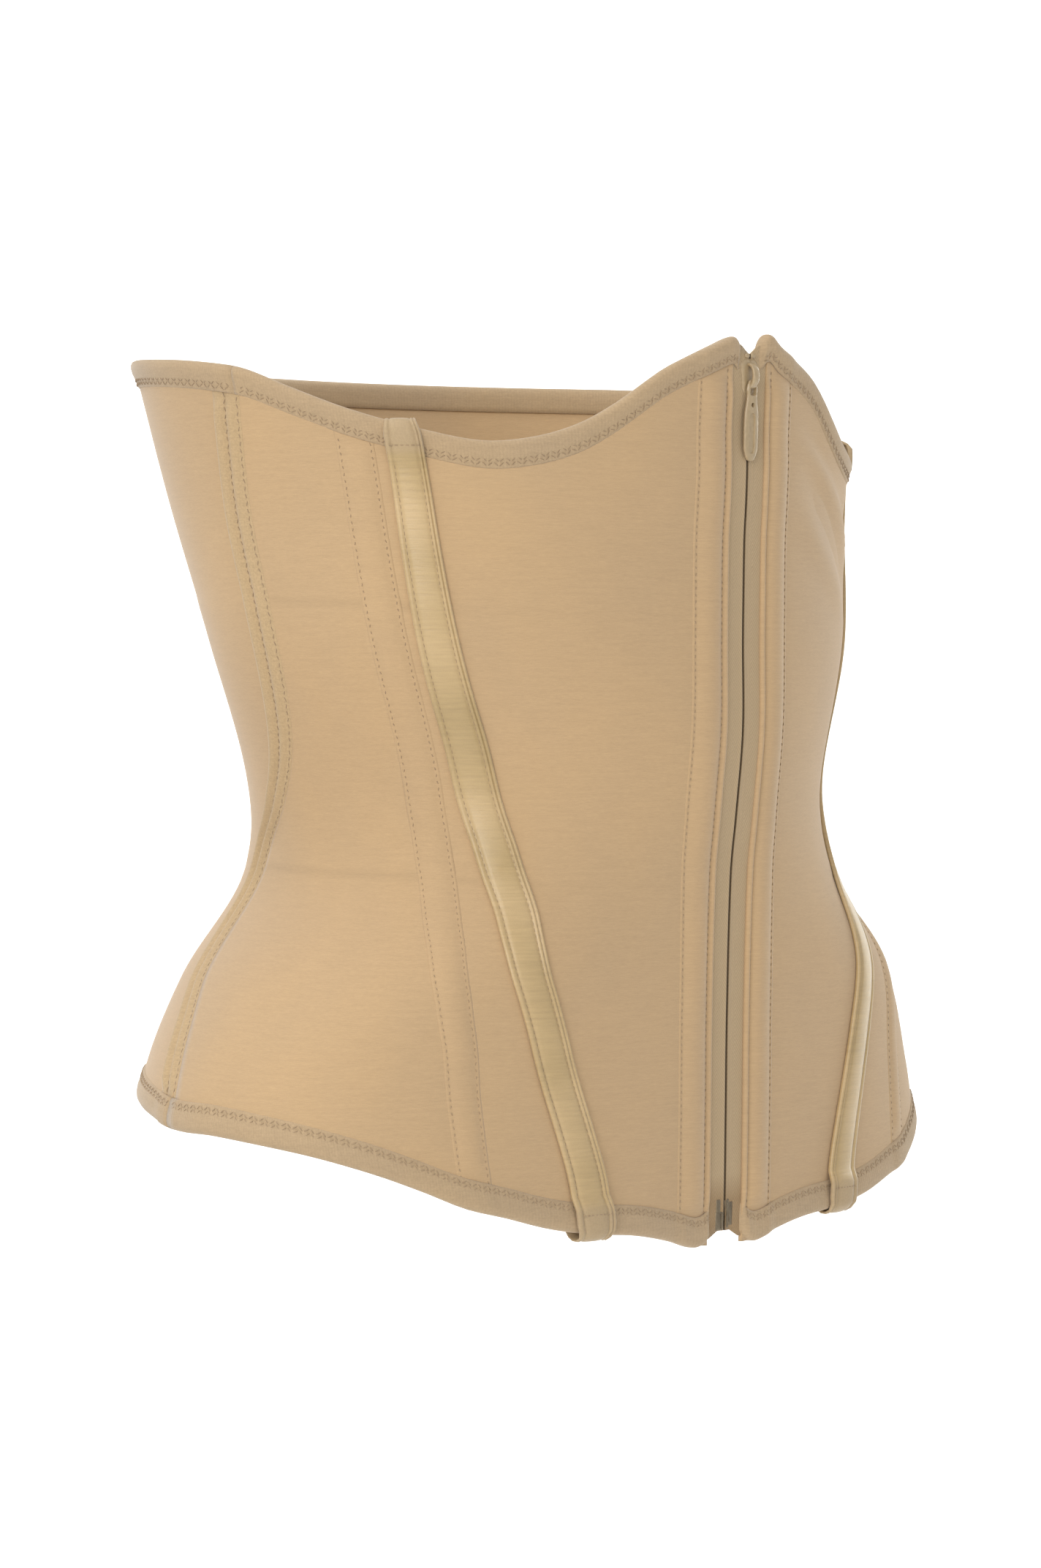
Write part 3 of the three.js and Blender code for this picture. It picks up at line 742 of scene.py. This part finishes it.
def bind_edge(name, sign, u0, u1, top, width):
    """A binding along the top or bottom edge from station u0 to u1."""
    edge, up = (top_of, 1) if top else (bottom_of, -1)
    steps, by_zip = np.linspace(u0, u1, 110), u0 < 0.5
    if by_zip:
        steps = np.concatenate([u0 + np.array([0, 0.01, 0.03, 0.06, 0.1, 0.15]),
                                np.linspace(u0 + 0.2, 0.6, 12), np.linspace(0.65, u1, 90)])

    def edge_line(u):
        return edge(np.maximum(u, 0)) - up * corner(u, top, sign) * (u < 3)

    outer, inner = binding_section(width)
    section = np.concatenate([outer, inner])
    u = steps[:, None]
    z = edge_line(u) + up * section[None, :, 0]
    t = edge_girth(u, z)
    off = section[None, :, 1]
    off = np.where(off > 0.5, off + swell(t, z), off)
    if by_zip:
        middle = -0.5 if top else 0.2
        pinch = 0.3 + 0.7 * smooth(0, 0.2, u - u0) ** 0.6
        off = middle + (off - middle) * pinch
    rings = skin(sign * t, z, off)
    faces, index = tube_faces(*rings.shape[:2])
    half = len(outer)
    for k in (0, -1):
        cap = index[k]
        for j in range(half - 1):
            a, b = cap[j], cap[j + 1]
            back_j = len(section) - 1 - np.round(np.array([j, j + 1]) * (len(inner) - 1)
                                                 / (half - 1)).astype(int)
            loop = [a, b, cap[back_j[1]], cap[back_j[0]]]
            loop = [v for i, v in enumerate(loop) if v not in loop[:i]]
            faces.append([int(v) for v in (loop if k else loop[::-1])])
    band = build(name, rings, faces, cloth=marked(ROUND * t * sign, z, section[None, :, 1]))
    band.data.materials.append(binding_knit)
    cut_cloth()
    stitched = []
    for k, drop in enumerate((width - 1.5, width - 2.9)):
        u = np.linspace(max(u0 + 0.1, -0.15), u1, 500)
        z = edge_line(u) - up * drop
        t = edge_girth(u, z)
        stitched.append(sew(f"{name}_stitches_{k}", sign * t, z, 1.98 + 0.12 * k + swell(t, z),
                            length=1.5, gap=0.5, zigzag=1.1))
    return [band] + stitched


for top, level, width in ((True, "top", 8.5), (False, "bottom", 9.5)):
    pieces = bind_edge(f"back_{level}_edging", 1, 4, 6, top, width)
    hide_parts(f"back_{level}_binding")
    for piece in pieces:
        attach(piece, "back")
    for side, sign in SIDES.items():
        pieces = bind_edge(f"{side}_{level}_edging", sign, -0.31 if top else -0.06, 4, top, width)
        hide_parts(f"{side}_{level}_binding")
        for piece in pieces:
            wing(piece)


# ---- The satin strips --------------------------------------------------------------------------
# A boned strip of shiny satin ribbon runs from the top edge down and forward across each front.
# Its edges are folded under and sewn, and both ends wrap over the bindings to the inside.

SATIN = in_radians(satin_seam)
satin_half = curve([(-136, 8.6), (-125, 8.5), (-40, 7.5), (40, 7.0), (150, 5.75), (172, 5.6)])

satin = Finish("satin", Roughness=0.36, Sheen_Weight=0.35, Sheen_Roughness=0.3,
               Specular_IOR_Level=0.6, Anisotropic=0.5)
# Painted sheen: the creases and the broad zones lighten and darken the satin's colour as its
# reflections would; the creases also set roughness and bump.
satin_creases = satin.noise((0.08, 1.1, 0.10), 4.0, 0.7)
satin_sheen_zones = satin.noise((0.02, 0.03, 0.02), 1.0, 0.4)
satin_weave = satin.noise((4.0, 1.1, 2.0), 1.0, 0.5)
satin_tone = 0.50 + 0.40 * satin_creases + 0.48 * satin_sheen_zones + 0.12 * satin_weave
satin_wrap = satin.parts(satin.mark("wrap"))[0]
satin_pile = satin.noise((1.3, 1.3, 1.3), 3.0, 0.7)
satin_tone = satin_tone * (1 - satin_wrap) + satin_wrap * (0.80 + 0.34 * satin_pile)
# Painted reflection: the broad zones shift the colour between a deeper and a paler gold; the wraps
# at the ends take the binding's own colour.
satin_dye_and_sheen = satin.mix(satin_sheen_zones, nude(168, 143, 93), nude(188, 162, 124))
satin_dye_and_sheen = satin.mix(satin_wrap, satin_dye_and_sheen, nude(171, 148, 114))
satin.paint(Base_Color=satin.shade(satin_dye_and_sheen, satin_tone),
            Roughness=0.28 + 0.18 * satin_creases + 0.35 * satin_wrap,
            Normal=satin.bump(0.8 * satin_creases + 0.2 * satin_weave, 0.5, 0.0003))

# (share of half width, height) across the ribbon; -1 is the front edge, with its double fold.
SATIN_SECTION = [(-1.0, 0.15), (-1.03, 0.85), (-0.99, 1.45), (-0.93, 1.7), (-0.87, 1.4),
                 (-0.845, 0.75), (-0.82, 1.35), (-0.76, 1.6), (-0.70, 1.35), (-0.66, 0.8),
                 (-0.60, 1.15), (-0.45, 1.4), (-0.2, 1.55), (0.15, 1.55), (0.45, 1.42),
                 (0.64, 1.15), (0.70, 0.7), (0.76, 1.15), (0.88, 1.3), (1.0, 1.0), (1.02, 0.5),
                 (1.0, 0.15)]


def satin_strip(side, sign):
    section = np.array(SATIN_SECTION)
    low, high = edge_low(SATIN), edge_high(SATIN)
    # (height, off) along the ribbon: from inside round the hem, up the front, over the top edge.
    path = [(low + 9, -3.0), (low + 1.2, -3.0), (low - 1.3, -2.3), (low - 2.2, -0.8),
            (low - 2.3, 0.8), (low - 1.5, 2.4), (low + 0.6, 3.35)]
    path += [(z, 1.62 + 1.75 * (1 - smooth(7.0, 12.5, min(z - low, high - z))))
             for z in np.linspace(low + 3, high - 3, 118)]
    path += [(high - 0.6, 3.2), (high + 1.1, 2.4), (high + 1.8, 0.8), (high + 1.7, -0.8),
             (high + 1.1, -2.3), (high - 1.2, -3.0), (high - 8, -3.0)]
    z, off = np.array(path).T
    along = np.concatenate([[0], np.cumsum(np.hypot(np.diff(z), np.diff(off)))])[:, None]
    dz, do = np.gradient(z), np.gradient(off)
    length = np.hypot(dz, do)
    up, out = (-do / length)[:, None], (dz / length)[:, None]
    z, off = z[:, None], off[:, None]
    near_end = np.minimum(z - low, high - z)
    half = satin_half(z) * (0.84 + 0.16 * smooth(-2.2, 3.0, near_end))
    flattened = (off < -1) | (np.abs(out) < 0.85)
    height = section[None, :, 1] * np.where(flattened, 0.55, 1.0)
    zz, oo = z + up * height, off + out * height
    t = across(SATIN(zz), zz, section[None, :, 0] * half)
    under = across(SATIN(z), z, section[None, ::-1, 0][:, [2, -3]] * half)
    rings = np.concatenate([skin(sign * t, zz, oo), skin(sign * under, z, off)], 1)
    width = np.concatenate([section[:, 0], [0.9, -0.9]])[None, :]
    strip = tube(side + "_satin_strip", rings, cloth=marked(width * half, along, 3.0 * sign),
                 wrap=marked(1 - smooth(6.5, 9.5, near_end), 0 * width, 0.0))
    strip.data.materials.append(satin.material)
    cut_cloth()

    def sewn(name, share, z, off, **how):
        t = sign * across(SATIN(z), z, share * satin_half(z))
        return sew(f"{side}_satin_{name}", t, z, off, **how)

    z = np.linspace(low + 12, high - 12, 200)
    rows = [sewn(f"stitches_{k}", share, z, off, length=1.5, gap=0.7, radius=0.10)
            for k, (share, off) in enumerate(((0.70, 2.35), (-0.66, 2.45)))]
    tacks = [sewn(f"tack_{k}", np.linspace(-0.9, 0.9, 20), np.full(20, z0), 4.8,
                  length=1.3, gap=0.5, radius=0.13)
             for k, z0 in enumerate((low + 6.0, high - 6.5))]
    return [strip] + rows + tacks


for side, sign in SIDES.items():
    pieces = satin_strip(side, sign)
    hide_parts(side + "_satin_casing", side + "_satin_bone")
    for piece in pieces:
        wing(piece)


# ---- The zip -----------------------------------------------------------------------------------
# A separating zip closes the front: two woven tapes whose nylon coils are on the inside, so that
# only a fine line shows, with a metal box and pin below and a painted slider and pull above.

ZIP_LEAN = math.atan(LEAN)


def zip_place(x, y, z, wave=0.0):
    """Points beside the zip line: x across, y into the body, z up the chain, in mm; in metres.
    Castings are straight; the tapes and coils take the wave of the worn front."""
    x, y, z = np.broadcast_arrays(*(np.asarray(v, float) for v in (x, y, z)))
    c, s = math.cos(ZIP_LEAN), math.sin(ZIP_LEAN)
    wy = y * c - z * s
    wz = y * s + z * c
    return np.stack([x, FRONT_Y + wy + wave * front_wave(wz), wz], -1) * 0.001


# A film stiffens the tapes' lower ends, and the folded edge beside the coil is painted dark, as
# painted shade.
tape = Finish("zip_tape_weave", Roughness=0.8, Sheen_Weight=0.15, Specular_IOR_Level=0.3)
tape_x, tape_z, _ = tape.parts(tape.mark("cloth"))
twill = ((tape_z * 4.4 + abs(tape_x - 5.0) * 6.0).sine() * 0.5) + 0.5
tape_grain = tape.noise((2.5, 2.5, 2.5), 2.0, 0.6)
film = ((-112.0 - tape_z) / 9.0).at_least(0.0).at_most(1.0)
tape_dye_and_shade = tape.mix(film, nude(172, 149, 116), nude(150, 124, 90))
# Painted shade: each tape fades to deep brown within 0.8 mm of the zip's middle line, where its
# edge turns in towards the coil.
tape_edge_shade = ((tape_x - 0.4) / 0.4).at_least(0.0).at_most(1.0)
tape_dye_and_shade = tape.mix(tape_edge_shade, nude(78, 62, 40), tape_dye_and_shade)
tape_tone = 0.80 + 0.14 * twill + 0.26 * tape_grain
tape.paint(Base_Color=tape.shade(tape_dye_and_shade, tape_tone),
           Normal=tape.bump(0.7 * twill + 0.3 * tape_grain, 0.4, 0.00015))

# Painted shade: the coil is coloured far darker than the tape, for the shade of the narrow gap
# between the tapes where it shows.
nylon = Finish("nylon_coil", Roughness=0.38, Specular_IOR_Level=0.5)
nylon_dye_and_shade = nylon.noise((0.8, 0.8, 0.8), 1.0, 0.5, at=nylon.own_place())
nylon.paint(Base_Color=nylon.mix(nylon_dye_and_shade, nude(96, 78, 57), nude(122, 101, 76)))


def zip_tape(side, sign):
    """A half tape with a raised edge by the chain, from the end box to above the top edge."""
    x = np.array([0.3, 0.45, 0.8, 1.5, 2.2, 3.0, 3.6, 4.2, 5.0, 5.8, 6.6, 7.4, 8.2, 9.0, 9.8,
                  11.5, 13.0, 14.6])[None, :]
    top = np.minimum(170.0, 166.6 + 0.72 * x)
    bottom = -131.2 - np.clip(0.5 * (x - 3.5), 0, 2.4)
    z = bottom + (top - bottom) * np.linspace(0, 1, 100)[:, None]
    rise = 0.28 * np.exp(-((x - 0.9) / 0.6) ** 2) + 0.07 * np.sin(x * 4.2) * (x > 2.5)
    front = -0.9 - rise + 0.35 * (x < 0.4)
    outer = zip_place(sign * x, front, z, wave=1.0)
    inner = zip_place(sign * x, -0.35, z, wave=1.0)
    obj = slab(side + "_zip_tape_weave", outer, inner, cloth=marked(x, z, 0.0))
    obj.data.materials.append(tape.material)
    cut_cloth()
    return obj


COIL_TURNS, COIL_LENGTH, COIL_WIRE = 234, 280.0, 0.23


def coil(side, sign):
    """One half of the chain: a flattened nylon spiral, half a turn higher on the left."""
    per = 12
    k = np.arange(COIL_TURNS * per + 1)
    angle = k * 2 * math.pi / per
    pitch = COIL_LENGTH / COIL_TURNS
    z = -118.4 + pitch * k / per + (pitch / 2 if sign > 0 else 0)
    cx = 1.25 + 1.42 * np.cos(angle)
    cy = 2.0 + 0.42 * np.sin(angle)
    centre = np.stack([cx, cy, z], -1)
    ahead = np.gradient(centre, axis=0)
    ahead /= np.linalg.norm(ahead, axis=1)[:, None]
    up = np.tile([0.0, 0.0, 1.0], (len(k), 1))
    beside = np.cross(ahead, up)
    beside /= np.linalg.norm(beside, axis=1)[:, None]
    over = np.cross(beside, ahead)
    rings = []
    for a in np.arange(5) * 2 * math.pi / 5:
        p = centre + COIL_WIRE * (beside * math.cos(a) + over * math.sin(a))
        rings.append(zip_place(sign * p[:, 0], p[:, 1], p[:, 2], wave=1.0))
    obj = tube(side + "_coil_turns", np.stack(rings, 1))
    obj.data.materials.append(nylon.material)
    return obj


def wear(finish, *scale):
    """Cloudy wear over a casting, at a scale for each millimetre."""
    at = finish.node("VectorMath", {"operation": "SCALE"},
                     {0: finish.own_place(), "Scale": 1000.0})
    return finish.noise(scale, 3.0, 0.6, at=at)


grey_metal = Finish("grey_metal", Metallic=0.85, Roughness=0.38)
metal_worn = wear(grey_metal, 0.9, 0.9, 0.5)
grey_metal.paint(Base_Color=grey_metal.mix(metal_worn, nude(92, 80, 62), nude(150, 138, 118)),
                 Roughness=0.26 + 0.25 * metal_worn)

enamel = Finish("beige_enamel", Specular_IOR_Level=0.5, Coat_Weight=0.45, Coat_Roughness=0.2)
enamel_worn = wear(enamel, 0.6, 0.6, 0.6)
enamel.paint(Base_Color=enamel.mix(enamel_worn, nude(150, 129, 97), nude(180, 158, 123)),
             Roughness=0.26 + 0.2 * enamel_worn,
             Normal=enamel.bump(enamel_worn, 0.15, 0.0001))


def cast(name, work, finish):
    """The shape under work as a smooth casting."""
    mesh = bpy.data.meshes.new(name)
    work.to_mesh(mesh)
    work.free()
    mesh.polygons.foreach_set("use_smooth", [True] * len(mesh.polygons))
    mesh.materials.append(finish)
    return put(name, mesh)


def rounded_block(name, low, high, radius, finish=enamel.material):
    """A block with rounded edges between two corners, in zip coordinates."""
    work = bmesh.new()
    bmesh.ops.create_cube(work, size=1.0)
    bmesh.ops.scale(work, vec=[b - a for a, b in zip(low, high)], verts=work.verts)
    bmesh.ops.bevel(work, geom=list(work.edges), offset=radius, segments=3, profile=0.5,
                    affect="EDGES")
    middle = [(a + b) / 2 for a, b in zip(low, high)]
    for v in work.verts:
        v.co = Vector(zip_place(*(a + b for a, b in zip(v.co, middle))).tolist())
    return cast(name, work, finish)


def weld(name, parts):
    """Joins parts into one casting."""
    work = bmesh.new()
    for part in parts:
        work.from_mesh(part.data)
    obj = cast(name, work, parts[0].data.materials[0])
    for part in parts:
        old = part.data
        bpy.data.objects.remove(part)
        bpy.data.meshes.remove(old)
    return obj


for side, sign in SIDES.items():
    front = side + "_front"
    piece = zip_tape(side, sign)
    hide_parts(side + "_zip_tape")
    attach(piece, front)
    piece = coil(side, sign)
    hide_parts(side + "_coil")
    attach(piece, front)
    x = sorted((0.5 * sign, 2.7 * sign))
    piece = rounded_block(side + "_stop", (x[0], -1.6, 165.6), (x[1], 2.9, 167.2), 0.5)
    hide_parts(side + "_top_stop")
    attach(piece, front)

# The box on the right tape and the pin on the left, each a casting of three joined blocks.
box = weld("box_shell", [
    rounded_block("a", (-4.7, -1.2, -131.2), (-0.3, 2.8, -124.6), 0.7, grey_metal.material),
    rounded_block("b", (-4.4, -1.05, -125.4), (-1.9, 2.6, -120.4), 0.6, grey_metal.material),
    rounded_block("c", (-1.9, -1.5, -130.6), (-0.9, -0.9, -125.2), 0.25, grey_metal.material)])
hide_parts("zip_box")
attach(box, "right_front")
pin = weld("pin_shell", [
    rounded_block("a", (0.3, -1.1, -130.6), (2.6, 2.6, -120.4), 0.6, grey_metal.material),
    rounded_block("b", (2.4, -0.95, -129.8), (4.7, 2.2, -121.4), 0.5, grey_metal.material),
    rounded_block("c", (1.0, -1.35, -129.8), (1.8, -0.9, -121.6), 0.2, grey_metal.material)])
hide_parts("zip_pin")
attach(pin, "left_front")


# ---- The slider and its pull -------------------------------------------------------------------
# Both are cast zinc, enamelled to match the cloth. The slider is two shield-shaped plates with
# rolled side walls and a crown; the pull is a long tab with a raised rim and a small hole.

SLIDER_Z, SLIDER_HALF = 159.3, 6.2  # middle of the slider, and half its length
PULL_Z, PULL_LENGTH = 157.7, 27.0  # where the pull hangs, and how far it reaches below


def plate_rings(half, rings, rounding=28):
    """Loops of an outline at several insets and depths; half(s) is its half width along it."""
    loops = []
    for inset, depth, low, high in rings:
        s = np.linspace(0, 1, rounding)
        s = 0.5 - 0.5 * np.cos(math.pi * s)
        z = low + inset + (high - low - 2 * inset) * s
        w = np.maximum(half((z - low) / (high - low)) - inset, 0.02)
        cap = np.sqrt(np.clip(1 - (2 * s - 1) ** 2, 0, 1)) ** 0.5
        w = w * np.where((s < 0.12) | (s > 0.88), np.minimum(1, cap * 1.18), 1)
        right = np.stack([w, np.full_like(z, depth), z], -1)
        left = np.stack([-w[::-1], np.full_like(z, depth), z[::-1]], -1)
        loops.append(np.concatenate([right, left]))
    return np.array(loops)


def lofted(name, loops):
    """A casting through loops of points, in zip coordinates."""
    obj = tube(name, zip_place(*np.moveaxis(loops, -1, 0)))
    obj.data.materials.append(enamel.material)
    return obj


shield = curve([(0.0, 3.3), (0.3, 3.7), (0.65, 4.3), (0.85, 4.55), (1.0, 4.4)])
Z0, Z1 = SLIDER_Z - SLIDER_HALF, SLIDER_Z + SLIDER_HALF
front_plate = lofted("front_plate", plate_rings(shield, [
    (0.5, 0.0, Z0, Z1), (0.05, -0.15, Z0, Z1), (0.0, -0.6, Z0, Z1), (0.25, -1.1, Z0, Z1),
    (0.8, -1.35, Z0, Z1), (2.0, -1.45, Z0, Z1)]))
back_plate = lofted("back_plate", plate_rings(shield, [
    (0.5, 3.1, Z0, Z1), (0.05, 3.2, Z0, Z1), (0.0, 3.7, Z0, Z1), (0.4, 4.1, Z0, Z1)]))


def crown_arch():
    """The bridge over the slider that holds the pull: a flat bar bent into an arch."""
    s = np.linspace(0, math.pi, 25)
    zc = SLIDER_Z + 0.2 + 3.9 * np.cos(s)
    yc = -1.1 - 2.9 * np.sin(s) ** 0.8
    section = [(math.copysign(abs(math.cos(a)) ** 0.6, math.cos(a)) * 1.6,
                math.copysign(abs(math.sin(a)) ** 0.6, math.sin(a)) * 0.62)
               for a in (np.arange(16) + 0.5) * math.pi / 8]
    loops = np.array([[(x, y + out_y * h, z + out_z * h) for x, h in section]
                      for z, y, out_z, out_y in zip(zc, yc, np.cos(s), -np.sin(s))])
    return lofted("crown", loops)


walls = [rounded_block(f"wall_{k}", (x0, -0.9, Z0 + 2.2), (x1, 1.0, Z1 - 1.2), 0.3)
         for k, (x0, x1) in enumerate(((-4.6, -3.9), (3.9, 4.6)))]
post = rounded_block("post", (-0.95, -0.3, Z1 - 4.2), (0.95, 3.3, Z1 - 0.4), 0.35)
slider = weld("slider_casting", [front_plate, back_plate, crown_arch(), post] + walls)
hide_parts("slider_body")
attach(slider, "slider")


def drilled(obj, tools):
    """Cuts tools out of a casting and returns it as plain mesh."""
    for tool in tools:
        cut = obj.modifiers.new("cut", "BOOLEAN")
        cut.operation, cut.solver, cut.object = "DIFFERENCE", "EXACT", tool
    result = bpy.data.meshes.new_from_object(
        obj.evaluated_get(bpy.context.evaluated_depsgraph_get()))
    obj.modifiers.clear()
    obj.data = result
    for tool in tools:
        bpy.data.objects.remove(tool)
    work = bmesh.new()
    work.from_mesh(result)
    for face in work.faces:
        face.smooth = True
    for line in work.edges:
        line.smooth = line.is_manifold and line.calc_face_angle(0) < math.radians(38)
    work.to_mesh(result)
    work.free()
    return obj


pull_half = curve([(0.0, 2.7), (0.1, 3.3), (0.35, 3.55), (0.58, 3.4), (0.70, 2.75), (0.80, 2.4),
                   (0.92, 2.75), (1.0, 2.5)])
P0, P1, PY = PULL_Z - PULL_LENGTH, PULL_Z + 0.6, -2.4  # the pull's ends and middle depth
tab = lofted("pull", plate_rings(pull_half, [
    (0.9, PY + 0.62, P0, P1), (0.2, PY + 0.5, P0, P1), (0.0, PY, P0, P1), (0.2, PY - 0.5, P0, P1),
    (0.75, PY - 0.68, P0, P1)], rounding=40))


# Three cuts in the pull: the eye for the crown, a small round hole, and the long recess.
EYE_Z, HOLE_Z, HOLE_RADIUS = PULL_Z - 2.75, PULL_Z - 8.0, 0.8
eye = rounded_block("eye", (-1.6, PY - 2.0, EYE_Z - 2.05), (1.6, PY + 2.0, EYE_Z + 2.05), 0.7)
hole = lofted("hole", np.array(
    [[(HOLE_RADIUS * math.cos(a), PY + reach, HOLE_Z + HOLE_RADIUS * math.sin(a))
      for a in np.arange(24) * math.pi / 12] for reach in (-2.0, 2.0)]))
R0, R1 = PULL_Z - 24.6, PULL_Z - 10.6
recess = lofted("recess", plate_rings(lambda s: np.full_like(s, 1.75), [
    (0.25, PY - 0.28, R0, R1), (0.0, PY - 1.4, R0, R1)]))
pull = drilled(tab, [eye, hole, recess])
pull.name = "pull_casting"
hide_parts("pull_tab")
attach(pull, "pull")


# ---- The last update ---------------------------------------------------------------------------
# The view layer is brought up to date once every piece is in place.

bpy.context.view_layer.update()
